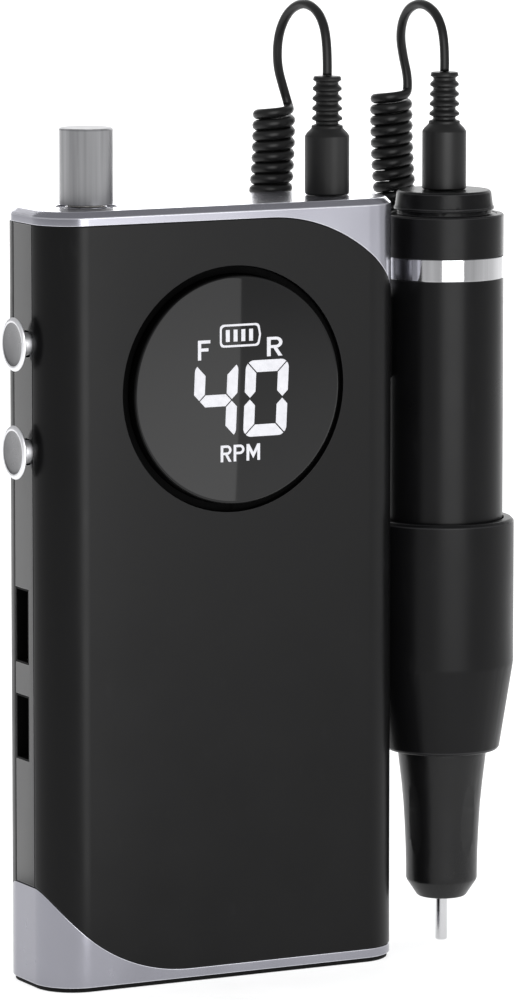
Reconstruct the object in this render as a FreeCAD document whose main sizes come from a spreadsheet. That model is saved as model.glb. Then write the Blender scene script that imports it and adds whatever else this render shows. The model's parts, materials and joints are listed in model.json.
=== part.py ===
"""Portable electric nail drill: a flat control box, a handpiece at its side and one curly cord.

Frame: millimetres, +Z up, X to the object's right, Y to its back, origin at the centre of the
box's base.  The display faces -Y.  The handpiece stands upright at the box's right side.
"""
import FreeCAD, Part
import Sketcher
import math
import os

os.makedirs("parts", exist_ok=True)
doc = FreeCAD.newDocument("nail_drill")
Vector = FreeCAD.Vector

# ---------------------------------------------------------------- driving dimensions

DIMENSIONS = (
    ("box_width", 76.5, "control box, left to right"),
    ("box_depth", 24.4, "control box, front to back"),
    ("box_height", 150.2, "control box, base to top face"),
    ("corner_radius", 8.25, "rounding of the box's four upright corners"),
    ("wall", 1.6, "case wall"),
    ("end_wall", 2.4, "top and bottom plates"),
    ("top_bevel", 1.2, "bevel round the top face"),
    ("rim_height", 2.7, "silver strip at each end, top face to black cover"),
    ("sweep_radius", 34.0, "curve where a silver end sweeps into the side"),
    ("sweep_start", 8.8, "distance of the sweep's start from the centre line"),
    ("seam", 0.12, "gap between neighbouring shells"),
    ("band_half", 4.05, "half the width of the side band"),
    ("pad_height", 0.9, "base pad"),
    ("pad_inset", 0.5, "base pad, set in from the outline"),
    ("display_x", 0.7, "centre of the round display"),
    ("display_z", 114.9, "centre of the round display"),
    ("display_hole", 23.75, "radius of the display's hole in the front cover"),
    ("lens_radius", 22.1, "display lens"),
    ("lens_proud", 1.6, "display lens stands out of the cover"),
    ("knob_x", -24.75, "speed knob's axis"),
    ("knob_radius", 5.2, "speed knob"),
    ("knob_bottom", 150.6, "underside of the speed knob"),
    ("knob_top", 165.2, "top of the speed knob"),
    ("button_y", -1.65, "axis of both side buttons"),
    ("power_z", 124.6, "upper side button"),
    ("direction_z", 103.9, "lower side button"),
    ("button_radius", 5.15, "head of a side button"),
    ("button_neck", 2.25, "neck of a side button"),
    ("button_travel", 0.6, "stroke of a side button"),
    ("port_y", 0.95, "centre line of the side ports"),
    ("port_width", 5.6, "side ports, front to back"),
    ("usb_low", 62.7, "upper port, lower end"),
    ("usb_high", 77.3, "upper port, upper end"),
    ("charge_low", 43.9, "lower port, lower end"),
    ("charge_high", 56.6, "lower port, upper end"),
    ("port_depth", 14.0, "how far a port reaches into the box"),
    ("jack_x", 27.35, "axis of the output jack on top of the box"),
    ("pin_radius", 1.75, "3.5 mm plug pin"),
    ("pin_length", 13.6, "3.5 mm plug pin"),
    ("plug_radius", 4.33, "moulded plug body"),
    ("relief_radius", 2.95, "ribbed relief over its rings"),
    ("plug_seat", 150.3, "underside of both plug bodies"),
    ("relief_top", 173.3, "top of both ribbed reliefs"),
    ("hand_x", 53.4, "handpiece axis"),
    ("barrel_radius", 11.8, "handpiece barrel"),
    ("barrel_bore", 10.4, "inside of the barrel"),
    ("barrel_top", 145.6, "upper end of the barrel"),
    ("ring_low", 133.0, "chrome ring"),
    ("ring_high", 137.4, "chrome ring"),
    ("grip_radius", 14.05, "twist grip"),
    ("grip_top", 85.4, "twist grip"),
    ("grip_shoulder", 56.2, "where the grip starts to taper"),
    ("grip_bottom", 39.1, "twist grip"),
    ("grip_end_radius", 11.35, "twist grip, lower end"),
    ("nose_tip", 9.3, "lower end of the nose cone"),
    ("bit_radius", 1.175, "2.35 mm bit shank"),
    ("bit_tip", 0.3, "lower end of the bit, just above the base"),
    ("lead_radius", 0.95, "plain lead"),
    ("coil_radius", 4.3, "curly cord over its turns"),
)


class Size:
    """A length that carries its spreadsheet formula along with its value."""

    def __init__(self, formula, value):
        self.formula = formula
        self.value = value

    def __add__(self, other):
        return Size(f"({self.formula} + {formula_of(other)})", self.value + value_of(other))

    def __radd__(self, other):
        return self + other

    def __sub__(self, other):
        return Size(f"({self.formula} - {formula_of(other)})", self.value - value_of(other))

    def __rsub__(self, other):
        return Size(f"({formula_of(other)} - {self.formula})", value_of(other) - self.value)

    def __mul__(self, factor):
        return Size(f"({self.formula} * {formula_of(factor)})", self.value * value_of(factor))

    def __neg__(self):
        return Size(f"(0 - {self.formula})", -self.value)


def formula_of(length):
    return length.formula if isinstance(length, Size) else f"({length:.6f})"


def value_of(length):
    return length.value if isinstance(length, Size) else float(length)


def fill_sheet():
    """Writes the driving dimensions to the sheet and returns them by name."""
    sheet = doc.addObject("Spreadsheet::Sheet", "sizes")
    found = {}
    for row, (alias, value, note) in enumerate(DIMENSIONS, start=1):
        sheet.set(f"A{row}", note)
        sheet.set(f"B{row}", str(value))
        sheet.setAlias(f"B{row}", alias)
        found[alias] = Size(f"sizes.{alias}", value)
    doc.recompute()
    return found


S = fill_sheet()
HALF_WIDTH = S["box_width"] * 0.5
HALF_DEPTH = S["box_depth"] * 0.5
TOP = S["box_height"]
PIECES = []

# ---------------------------------------------------------------- ways of making a piece


def bind(thing, name, length):
    thing.setExpression(name, formula_of(length))


def place(thing, x=0, y=0, z=0, axis=Vector(0, 0, 1), angle=0):
    """Turns a feature, then ties its position to the sheet."""
    thing.Placement = FreeCAD.Placement(Vector(), FreeCAD.Rotation(axis, angle))
    for letter, length in zip("xyz", (x, y, z)):
        bind(thing, f"Placement.Base.{letter}", length)
    return thing


def keep(name, thing):
    """Marks a feature as a finished piece with its own name."""
    thing.Label = name
    PIECES.append((name, thing))
    return thing


def own_plane(body, role):
    return next(item for item in body.Origin.OriginFeatures if item.Role == role)


def outline_sketch(body, role, corners):
    """A closed sketch through the corners, each corner tied to the sheet."""
    sketch = body.newObject("Sketcher::SketchObject", f"{body.Name}_outline")
    sketch.AttachmentSupport = [(own_plane(body, role), "")]
    sketch.MapMode = "FlatFace"
    spots = [Vector(value_of(a), value_of(b), 0) for a, b in corners]
    count = len(spots)
    for i in range(count):
        sketch.addGeometry(Part.LineSegment(spots[i], spots[(i + 1) % count]), False)
    for i in range(count):
        sketch.addConstraint(Sketcher.Constraint("Coincident", i, 2, (i + 1) % count, 1))
    for i, corner in enumerate(corners):
        for kind, other_axis, length in zip(("DistanceX", "DistanceY"), (-2, -1), corner):
            if value_of(length) == 0:
                sketch.addConstraint(Sketcher.Constraint("PointOnObject", i, 1, other_axis))
                continue
            rule = Sketcher.Constraint(kind, -1, 1, i, 1, value_of(length))
            number = sketch.addConstraint(rule)
            bind(sketch, f"Constraints[{number}]", length)
    return sketch


def lathe(name, corners):
    """A turned body: corners are (radius, height) pairs round half of its section."""
    body = doc.addObject("PartDesign::Body", name)
    sketch = outline_sketch(body, "XZ_Plane", corners)
    turn = body.newObject("PartDesign::Revolution", f"{name}_turn")
    turn.Profile = sketch
    turn.ReferenceAxis = (sketch, ["V_Axis"])
    turn.Angle = 360
    body.Tip = turn
    return body


def ring(name, inner, outer, low, high):
    """A turned body with a plain ring section."""
    return lathe(name, ((inner, low), (outer, low), (outer, high), (inner, high)))


def hand_turned(name, corners):
    """A turned piece on the handpiece's axis."""
    return keep(name, place(lathe(name, corners), x=S["hand_x"]))


def block(name, low, high):
    """A box between two corners."""
    box = doc.addObject("Part::Box", name)
    for side, a, b in zip(("Length", "Width", "Height"), low, high):
        bind(box, side, b - a if isinstance(a, Size) or isinstance(b, Size) else float(b - a))
    return place(box, *low)


DIRECTIONS = {
    "x": (Vector(0, 1, 0), 90),
    "y": (Vector(1, 0, 0), -90),
    "z": (Vector(0, 0, 1), 0),
}


def rod(name, radius, length, x=0, y=0, z=0, along="z"):
    """A cylinder that starts at x, y, z and runs along an axis; "y" runs towards the back."""
    axis, angle = DIRECTIONS[along]
    cylinder = doc.addObject("Part::Cylinder", name)
    bind(cylinder, "Radius", radius)
    bind(cylinder, "Height", length)
    return place(cylinder, x, y, z, axis, angle)


def fuse(name, *things):
    joined = doc.addObject("Part::MultiFuse", name)
    joined.Shapes = list(things)
    joined.Refine = True
    return joined


def cut(name, base, *tools):
    trimmed = doc.addObject("Part::Cut", name)
    trimmed.Base = base
    trimmed.Tool = tools[0] if len(tools) == 1 else fuse(f"{name}_tools", *tools)
    trimmed.Refine = True
    return trimmed


def common(name, first, second):
    shared = doc.addObject("Part::Common", name)
    shared.Base = first
    shared.Tool = second
    shared.Refine = True
    return shared


def group(name, things):
    """Identical pieces kept together as separate solids of one node."""
    bundle = doc.addObject("Part::Compound", name)
    bundle.Links = list(things)
    return keep(name, bundle)


def upright_edges(shape):
    """Names of a prism's vertical edges."""
    names = []
    for number, edge in enumerate(shape.Edges, start=1):
        ends = [vertex.Point for vertex in edge.Vertexes]
        if len(ends) == 2 and abs(ends[0].x - ends[1].x) + abs(ends[0].y - ends[1].y) < 1e-6:
            names.append(f"Edge{number}")
    return names


def rounded_prism(name, inset, low, high, bevel=None):
    """The box's plan outline, set in by inset, from low to high, with an optional top bevel."""
    body = doc.addObject("PartDesign::Body", name)
    x, y = HALF_WIDTH - inset, HALF_DEPTH - inset
    corners = ((-x, -y), (x, -y), (x, y), (-x, y))
    sketch = outline_sketch(body, "XY_Plane", corners)
    pad = body.newObject("PartDesign::Pad", f"{name}_pad")
    pad.Profile = sketch
    bind(pad, "Length", high - low)
    body.Tip = pad
    doc.recompute()
    rounding = body.newObject("PartDesign::Fillet", f"{name}_corners")
    rounding.Base = (pad, upright_edges(pad.Shape))
    bind(rounding, "Radius", S["corner_radius"] - inset)
    body.Tip = rounding
    doc.recompute()
    if bevel is not None:
        height = value_of(high - low)
        rim = [f"Face{n}" for n, face in enumerate(rounding.Shape.Faces, start=1)
               if abs(face.BoundBox.ZMin - height) < 1e-6]
        slope = body.newObject("PartDesign::Chamfer", f"{name}_bevel")
        slope.Base = (rounding, rim)
        bind(slope, "Size", bevel)
        body.Tip = slope
        doc.recompute()
    return place(body, z=low)


# ---------------------------------------------------------------- case shells


def end_region(name, side, gap):
    """Space that a silver end fills: side is 1 for the top right, -1 for the bottom left."""
    reach = S["box_width"] * 0.6
    start, radius, rim = S["sweep_start"], S["sweep_radius"] - gap, S["rim_height"] + gap
    drop = S["sweep_radius"]
    if side > 0:
        strip = block(f"{name}_strip", (-reach, -reach, TOP - rim), (reach, reach, TOP + 5))
        corner = block(f"{name}_corner", (start, -reach, TOP - rim - drop), (reach, reach, TOP - rim))
        centre_x, centre_z = start, TOP - S["rim_height"] - drop
    else:
        strip = block(f"{name}_strip", (-reach, -reach, -5), (reach, reach, rim))
        corner = block(f"{name}_corner", (-reach, -reach, rim), (-start, reach, rim + drop))
        centre_x, centre_z = -start, S["rim_height"] + drop
    curve = rod(f"{name}_curve", radius, reach * 2.2, centre_x, -reach * 1.1, centre_z, "y")
    return fuse(name, strip, cut(f"{name}_sweep", corner, curve))


def case_posts():
    """Four screw posts that stand on the inside of the front cover."""
    start = -HALF_DEPTH + S["wall"] * 0.5
    posts, holes = [], []
    for number, (x, z) in enumerate(SCREW_SPOTS, start=1):
        posts.append(rod(f"post_{number}", 2.4, HALF_DEPTH - start - 3.0, x, start, z, "y"))
        holes.append(rod(f"post_hole_{number}", 1.05, S["box_depth"], x, start + 6, z, "y"))
    return posts, holes


def display_tools(name, radius):
    """A rod through the front cover for the display."""
    return rod(name, radius, 8, S["display_x"], -HALF_DEPTH - 1, S["display_z"], "y")


SCREW_SPOTS = ((-30.5, 26.0), (30.5, 26.0), (-30.5, 85.5), (30.5, 85.5))
REACH = S["box_width"]
BAND = S["band_half"]

outer = rounded_prism("case_outline", 0.0, S["pad_height"], TOP, S["top_bevel"])
floor_top = S["pad_height"] + S["end_wall"]
cavity = rounded_prism("case_cavity", S["wall"], floor_top, TOP - S["end_wall"])
shell = cut("case_shell", outer, cavity)
middle = cut(
    "case_middle",
    shell,
    end_region("top_gap", 1, S["seam"]),
    end_region("bottom_gap", -1, S["seam"]),
)

keep("base_pad", rounded_prism("base_pad", S["pad_inset"], 0.0, S["pad_height"]))

bottom_cap = common("bottom_cap", shell, end_region("bottom_region", -1, 0.0))
keep("bottom_cap", bottom_cap)

knob_well = ring("knob_well", 4.0, S["knob_radius"] + 0.8, TOP - 0.5, TOP + 1)
place(knob_well, x=S["knob_x"])
top_cap = cut(
    "top_cap",
    common("top_shell", shell, end_region("top_region", 1, 0.0)),
    rod("knob_hole", 3.0, 10, S["knob_x"], 0, TOP - 5),
    rod("jack_hole", 2.65, 10, S["jack_x"], 0, TOP - 5),
    rod("reset_hole", 0.55, 10, -31.0, 7.6, TOP - 5),
    block("vent_slot", (-9.0, 8.4, TOP - 0.8), (3.8, 9.6, TOP + 1)),
    knob_well,
)
keep("top_cap", top_cap)

posts, post_holes = case_posts()
front_space = block("front_space", (-REACH, -REACH, 0), (REACH, -BAND - S["seam"] * 0.5, TOP))
front_cover = cut(
    "front_cover",
    fuse("front_with_posts", common("front_half", middle, front_space), *posts),
    display_tools("display_hole", S["display_hole"]),
    *post_holes,
)
keep("front_cover", front_cover)

back_space = block("back_space", (-REACH, BAND + S["seam"] * 0.5, 0), (REACH, REACH, TOP))
screw_ways = []
for number, (x, z) in enumerate(SCREW_SPOTS, start=1):
    screw_ways.append(rod(f"head_well_{number}", 2.15, 4, x, HALF_DEPTH - 1.0, z, "y"))
    screw_ways.append(rod(f"back_hole_{number}", 1.2, 8, x, HALF_DEPTH - 4, z, "y"))
back_cover = cut("back_cover", common("back_half", middle, back_space), *screw_ways)
keep("back_cover", back_cover)

PORT_FRONT = S["port_y"] - S["port_width"] * 0.5
PORT_BACK = S["port_y"] + S["port_width"] * 0.5
shelf = block(
    "battery_shelf",
    (-HALF_WIDTH + S["wall"] * 0.5, -BAND + 0.5, 79.6),
    (HALF_WIDTH - S["wall"] * 0.5, BAND - 0.5, 81.2),
)
band_edge = BAND - S["seam"] * 0.5
band_space = block("band_space", (-REACH, -band_edge, 0), (REACH, band_edge, TOP))
outside, inside = -HALF_WIDTH - 2, -HALF_WIDTH + 4
CRADLE_Y, CRADLE_SCREW_Z = 2.4, (116.4, 126.8)
side_frame = cut(
    "side_frame",
    fuse("bands_and_shelf", common("bands", middle, band_space), shelf),
    rod("power_hole", S["button_neck"] + 0.35, 6, outside, S["button_y"], S["power_z"], "x"),
    rod("direction_hole", S["button_neck"] + 0.35, 6, outside, S["button_y"], S["direction_z"], "x"),
    block("usb_hole", (outside, PORT_FRONT, S["usb_low"]), (inside, PORT_BACK, S["usb_high"])),
    block("charge_hole", (outside, PORT_FRONT, S["charge_low"]),
          (inside, PORT_BACK, S["charge_high"])),
    *[rod(f"cradle_hole_{n}", 1.15, 8, HALF_WIDTH - 4, CRADLE_Y, z, "x")
      for n, z in enumerate(CRADLE_SCREW_Z, start=1)],
)
keep("side_frame", side_frame)

screw = ((0, 0), (1.0, 0), (1.0, 10.4), (2.0, 10.4), (2.0, 11.2), (0, 11.2))
case_screws = []
for number, (x, z) in enumerate(SCREW_SPOTS, start=1):
    one = lathe(f"case_screw_{number}", screw)
    case_screws.append(place(one, x, HALF_DEPTH - 11.3, z, Vector(1, 0, 0), -90))
group("case_screws", case_screws)

# ---------------------------------------------------------------- display and boards


def display_disc(name, corners):
    """A turned piece on the display's axis; heights run forward from the cover's outer face."""
    thing = lathe(name, corners)
    place(thing, S["display_x"], -HALF_DEPTH + 6, S["display_z"], Vector(1, 0, 0), 90)
    return keep(name, thing)


lens = S["lens_radius"]
lens_front = 6 + S["lens_proud"]
display_disc("display_lens", (
    (0, 3.6), (lens, 3.6), (lens, lens_front - 0.45), (lens - 0.45, lens_front), (0, lens_front)))
hole = S["display_hole"]
display_disc("display_bezel", (
    (lens + 0.1, 3.2), (hole + 0.9, 3.2), (hole + 0.9, 4.3), (hole - 0.1, 4.3), (hole - 0.1, 5.0),
    (lens + 0.1, 5.0)))
display_disc("display_module", ((0, 0.4), (lens - 1, 0.4), (lens - 1, 3.0), (0, 3.0)))

keep("main_board", block("main_board", (-34.0, 1.0, 90.0), (34.0, 2.6, 134.8)))
board_front = PORT_BACK + 0.35
keep("charge_board", block("charge_board", (-35.5, board_front, 41.5), (-20.5, board_front + 1.25, 78.6)))

switches = []
for height in (S["power_z"], S["direction_z"]):
    base = block(f"switch_{len(switches)}", (-35.0, -3.2, height - 3), (-31.2, 0.9, height + 3))
    switches.append(base)
group("tact_switches", switches)


def side_port(name, low, high):
    """A rectangular socket: a shell with a contact tongue at its inner end."""
    shell_wall, left = 0.35, -HALF_WIDTH + 0.05
    right = left + S["port_depth"]
    front, back = PORT_FRONT + 0.05, PORT_BACK - 0.05
    body = block(f"{name}_body", (left, front, low + 0.05), (right, back, high - 0.05))
    space = block(f"{name}_space", (left - 1, front + shell_wall, low + 0.05 + shell_wall),
                  (right - 0.8, back - shell_wall, high - 0.05 - shell_wall))
    tongue = block(f"{name}_tongue", (left + 6, front + 1.9, low + 1.6),
                   (right - 0.4, front + 3.4, high - 1.6))
    return keep(name, fuse(name, cut(f"{name}_shell", body, space), tongue))


side_port("usb_port", S["usb_low"], S["usb_high"])
side_port("charge_port", S["charge_low"], S["charge_high"])

# ---------------------------------------------------------------- battery

CELL_RADIUS, CELL_LENGTH, CELL_LOW = 9.15, 65.0, 5.6
CELL_X = (-8.7, 10.3)
cells = []
straps = []
for number, x in enumerate(CELL_X, start=1):
    cell = ((0, 0), (CELL_RADIUS, 0), (CELL_RADIUS, CELL_LENGTH), (3.0, CELL_LENGTH),
            (3.0, CELL_LENGTH + 0.8), (0, CELL_LENGTH + 0.8))
    cells.append(place(lathe(f"cell_{number}", cell), x, 0, CELL_LOW))
group("battery_cells", cells)
middle_x = sum(CELL_X) * 0.5
tray_half = CELL_RADIUS * 2 + 1.2
tray = cut(
    "battery_tray",
    block("tray_block", (middle_x - tray_half, -10.3, 4.0), (middle_x + tray_half, 10.3, 73.0)),
    block("tray_ends", (middle_x - tray_half - 1, -20, 5.0), (middle_x + tray_half + 1, 9.3, 72.0)),
    *[rod(f"cell_space_{n}", CELL_RADIUS + 0.1, CELL_LENGTH + 1.4, x, 0, CELL_LOW - 0.4)
      for n, x in enumerate(CELL_X, 1)],
)
keep("battery_tray", tray)
for number, height in enumerate((CELL_LOW - 0.35, CELL_LOW + CELL_LENGTH + 0.85), start=1):
    low, high = (CELL_X[0] - 4, -3.0, height), (CELL_X[1] + 4, 3.0, height + 0.15)
    straps.append(block(f"strap_{number}", low, high))
group("battery_straps", straps)

# ---------------------------------------------------------------- speed control on top

SHAFT = 1.55
knob_low, knob_high, knob_radius = S["knob_bottom"], S["knob_top"], S["knob_radius"]
pot = lathe("speed_control", (
    (SHAFT + 0.05, 139.5), (4.9, 139.5), (4.9, 147.0), (2.9, 147.0), (2.9, 151.7),
    (SHAFT + 0.05, 151.7)))
keep("speed_control", place(pot, x=S["knob_x"]))

nut_blank = doc.addObject("Part::Prism", "nut_blank")
nut_blank.Polygon = 6
nut_blank.Circumradius = 3.9
nut_blank.Height = 1.0
place(nut_blank, S["knob_x"], 0, TOP + 0.05)
nut_bore = rod("nut_bore", 2.95, 3, S["knob_x"], 0, TOP - 1)
keep("speed_control_nut", cut("speed_control_nut", nut_blank, nut_bore))

shaft = lathe("speed_shaft", ((0, 140.5), (SHAFT, 140.5), (SHAFT, 160.0), (0, 160.0)))
keep("speed_shaft", place(shaft, x=S["knob_x"]))

knob = lathe("knob_blank", (
    (4.3, knob_low), (knob_radius, knob_low), (knob_radius, knob_high - 0.3),
    (knob_radius - 0.3, knob_high), (0, knob_high), (0, 160.1), (SHAFT + 0.05, 160.1),
    (SHAFT + 0.05, 152.6), (4.3, 152.6)))
place(knob, x=S["knob_x"])
screw_space = rod("knob_screw_space", 0.85, 6, S["knob_x"], 1.0, 156.0, "y")
keep("speed_knob", cut("speed_knob", knob, screw_space))
keep("knob_set_screw", rod("knob_set_screw", 0.8, 2.6, S["knob_x"], SHAFT + 0.1, 156.0, "y"))

# ---------------------------------------------------------------- side buttons


def side_button(name, height):
    """A mushroom button: heights run outward from the switch to the dished head."""
    side = 2.65
    head, neck = S["button_radius"], S["button_neck"]
    back = S["button_travel"] + side + 1.3
    corners = ((0, 0), (1.6, 0), (1.6, side - 1.2), (neck, side - 1.2), (neck, back),
               (head - 0.35, back + 0.4), (head, back + 0.7), (head, back + 0.9),
               (head - 0.55, back + 1.2), (0, back + 0.95))
    thing = lathe(name, corners)
    place(thing, -HALF_WIDTH + side, S["button_y"], height, Vector(0, 1, 0), -90)
    return keep(name, thing)


side_button("power_button", S["power_z"])
side_button("direction_button", S["direction_z"])

# ---------------------------------------------------------------- jacks and plugs

BORE = S["pin_radius"] + 0.08
seat = S["plug_seat"]
jack = lathe("output_jack", (
    (BORE, 135.5), (3.9, 135.5), (3.9, 147.4), (2.6, 147.4), (2.6, seat - 0.15), (BORE, seat - 0.15)))
keep("output_jack", place(jack, x=S["jack_x"]))


def plug_corners():
    """Moulded body, sloping shoulder and a relief of five rings."""
    body, rings, top = S["plug_radius"], S["relief_radius"], S["relief_top"]
    corners = [(0, seat), (body - 0.25, seat), (body, seat + 0.25), (body, seat + 11.4),
               (body - 0.4, seat + 12.0), (rings + 0.1, seat + 12.9), (rings + 0.1, seat + 13.4)]
    pitch = 1.92
    for number in range(5):
        low = seat + 13.4 + number * pitch
        ring_radius = rings - 0.04 * number
        corners += [(rings - 0.75, low + 0.3), (rings - 0.75, low + 0.8), (ring_radius, low + 1.15),
                    (ring_radius, low + 1.6)]
    corners[-1] = (rings - 0.35, top - 0.05)
    corners += [(S["lead_radius"] + 0.6, top), (0, top)]
    return tuple(corners)


def plug(name, x):
    keep(f"{name}_plug", place(lathe(f"{name}_plug", plug_corners()), x=x))
    pin, low = S["pin_radius"], seat - S["pin_length"]
    corners = ((0, low), (0.7, low), (pin, low + 1.3), (pin, low + 1.9), (pin - 0.35, low + 2.5),
               (pin, low + 3.1), (pin, seat - 0.02), (0, seat - 0.02))
    keep(f"{name}_plug_pin", place(lathe(f"{name}_plug_pin", corners), x=x))


plug("box", S["jack_x"])
plug("handpiece", S["hand_x"])

# ---------------------------------------------------------------- cradle on the box's side

MAGNET_Z = sum(CRADLE_SCREW_Z) * 0.5
cradle_ways, cradle_screws = [], []
cradle_screw = ((0, 0), (1.0, 0), (1.0, 4.2), (2.0, 4.2), (2.0, 5.2), (0, 5.2))
for number, z in enumerate(CRADLE_SCREW_Z, start=1):
    cradle_ways.append(rod(f"cradle_screw_{number}", 1.15, 12, HALF_WIDTH - 1, CRADLE_Y, z, "x"))
    cradle_ways.append(rod(f"cradle_head_{number}", 2.2, 12, HALF_WIDTH + 1.2, CRADLE_Y, z, "x"))
    one = lathe(f"cradle_screw_body_{number}", cradle_screw)
    cradle_screws.append(place(one, HALF_WIDTH - 2.9, CRADLE_Y, z, Vector(0, 1, 0), 90))
saddle = cut(
    "handpiece_cradle",
    block("cradle_block", (HALF_WIDTH + 0.05, CRADLE_Y - 3.6, 113.8),
          (HALF_WIDTH + 4.4, CRADLE_Y + 3.6, 129.4)),
    rod("cradle_curve", S["barrel_radius"] + 0.3, 60, S["hand_x"], 0, 80.0),
    rod("magnet_well", 2.7, 12, HALF_WIDTH + 0.9, CRADLE_Y, MAGNET_Z, "x"),
    *cradle_ways,
)
keep("handpiece_cradle", saddle)
magnet = rod("cradle_magnet", 2.6, 1.6, HALF_WIDTH + 0.95, CRADLE_Y, MAGNET_Z, "x")
keep("cradle_magnet", magnet)
group("cradle_screws", cradle_screws)

# ---------------------------------------------------------------- handpiece

barrel, bore = S["barrel_radius"], S["barrel_bore"]
barrel_top = S["barrel_top"]
hand_turned("barrel", (
    (bore, 58.9), (barrel, 58.9), (barrel, S["ring_low"]), (barrel - 0.35, S["ring_low"]),
    (barrel - 0.35, S["ring_high"]), (barrel, S["ring_high"]), (barrel, barrel_top - 0.3),
    (barrel - 0.3, barrel_top), (bore, barrel_top)))
ring_low, ring_high = S["ring_low"] + 0.03, S["ring_high"] - 0.03
hand_turned("chrome_ring", (
    (barrel - 0.33, ring_low), (barrel + 0.12, ring_low), (barrel + 0.12, ring_high),
    (barrel - 0.33, ring_high)))
hand_turned("rear_cap", (
    (3.3, 141.0), (bore - 0.04, 141.0), (bore - 0.04, barrel_top - 0.1), (9.2, barrel_top),
    (9.2, barrel_top + 0.8), (9.85, barrel_top + 0.85), (9.85, barrel_top + 1.3),
    (9.65, barrel_top + 1.6), (9.3, seat - 0.5), (8.9, seat - 0.1), (3.3, seat - 0.1)))
hand_turned("handpiece_jack", ((BORE, 134.0), (3.25, 134.0), (3.25, seat - 0.1), (BORE, seat - 0.1)))

grip = S["grip_radius"]
grip_low, grip_high = S["grip_bottom"], S["grip_top"]
hand_turned("twist_grip", (
    (9.1, grip_low), (S["grip_end_radius"] - 0.4, grip_low), (S["grip_end_radius"], grip_low + 0.5),
    (grip - 0.12, S["grip_shoulder"] - 0.4), (grip, S["grip_shoulder"] + 0.6), (grip, grip_high - 0.6),
    (grip - 0.6, grip_high), (barrel + 0.25, grip_high), (barrel + 0.25, 58.6), (11.2, 58.6),
    (11.2, 40.7), (9.1, 40.7)))


def finger_scoop(number):
    """A very shallow barrel-shaped hollow in the nose: four of them go round it, 90 degrees apart."""
    curve, length, level, floor, slope = 80.0, 30.0, 25.5, 7.12, 0.067
    heading = math.radians(195.5 + 90.0 * number)
    outward = Vector(math.cos(heading), math.sin(heading), 0)
    along = Vector(0, 0, 1).cross(outward)
    centre = outward * (floor + curve) - along * (length * 0.5)
    tool = doc.addObject("Part::Cylinder", f"finger_scoop_{number}")
    tool.Radius = curve
    tool.Height = length
    turn = FreeCAD.Rotation(Vector(0, 0, 1), along)
    tool.Placement = FreeCAD.Placement(Vector(0, centre.y, level - slope * curve), turn)
    bind(tool, "Placement.Base.x", S["hand_x"] + centre.x)
    return tool


tip = S["nose_tip"]
nose_blank = place(lathe("nose_blank", (
    (1.9, tip), (4.6, tip), (4.95, tip + 0.25), (6.9, tip + 3.2), (7.07, tip + 3.7), (7.09, 15.5),
    (7.16, 19.0), (7.33, 23.0), (7.63, 28.0), (8.05, 32.3), (8.55, 36.4), (8.8, 38.6), (8.8, 40.9),
    (10.9, 40.9), (10.9, 57.0), (bore - 0.05, 57.0), (bore - 0.05, 63.9), (9.5, 63.9), (9.5, 42.4),
    (6.0, 37.0), (6.0, 13.6), (4.5, 13.6), (4.5, tip + 1.0), (1.9, tip + 1.0))), x=S["hand_x"])
keep("nose_cone", cut("nose_cone", nose_blank, *[finger_scoop(number) for number in range(4)]))
hand_turned("dust_seal", ((1.5, tip + 1.05), (4.45, tip + 1.05), (4.45, tip + 1.9), (1.5, tip + 1.9)))
group("nose_bearings", [
    place(ring("bearing_front", 2.96, 5.95, 13.7, 17.7), x=S["hand_x"]),
    place(ring("bearing_middle", 4.06, 5.95, 31.0, 35.0), x=S["hand_x"]),
])
hand_turned("rear_bearing", ((4.06, 59.2), (9.45, 59.2), (9.45, 63.7), (4.06, 63.7)))
hand_turned("lock_collar", ((4.3, 51.0), (9.45, 51.0), (9.45, 55.0), (4.3, 55.0)))
washers = []
for number in range(4):
    lift = 0.7 if number % 2 == 0 else -0.7
    inner_low = 44.0 + number * 1.5 + max(-lift, 0)
    outer_low = inner_low + lift
    washer = ((4.3, inner_low), (4.3, inner_low + 0.6), (7.8, outer_low + 0.6), (7.8, outer_low))
    washers.append(place(lathe(f"washer_{number}", washer), x=S["hand_x"]))
group("chuck_springs", washers)

hand_turned("motor_can", (
    (2.0, 80.0), (10.3, 80.0), (10.3, 129.0), (2.0, 129.0), (2.0, 127.2), (9.2, 127.2), (9.2, 81.8),
    (2.0, 81.8)))
hand_turned("motor_rotor", (
    (0, 71.4), (1.5, 71.4), (1.5, 86.0), (8.4, 86.0), (8.4, 119.0), (3.2, 119.0), (3.2, 124.5),
    (1.5, 124.5), (1.5, 128.6), (0, 128.6)))
hand_turned("coupling", (
    (2.05, 65.0), (4.6, 65.0), (4.6, 77.5), (1.54, 77.5), (1.54, 71.2), (2.05, 71.0)))
shank = S["bit_radius"]
collet_bore = shank + 0.03
hand_turned("spindle", (
    (2.15, 11.8), (2.9, 11.8), (2.9, 24.0), (4.0, 25.2), (4.0, 64.6), (2.0, 64.6), (2.0, 70.8), (0, 70.8),
    (0, 44.0), (collet_bore, 44.0), (collet_bore, 23.4), (2.15, 23.4)))
hand_turned("collet", ((collet_bore, 11.9), (2.1, 11.9), (2.1, 23.2), (collet_bore, 23.2)))
bit_low = S["bit_tip"]
hand_turned("bit", ((0, bit_low), (shank - 0.2, bit_low), (shank, bit_low + 0.2), (shank, 42.9),
                    (shank - 0.3, 43.2), (0, 43.2)))

# ---------------------------------------------------------------- curly cord

LEAD_TOP = S["relief_top"].value + 0.07
JACK_X, HAND_X = S["jack_x"].value, S["hand_x"].value

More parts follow.
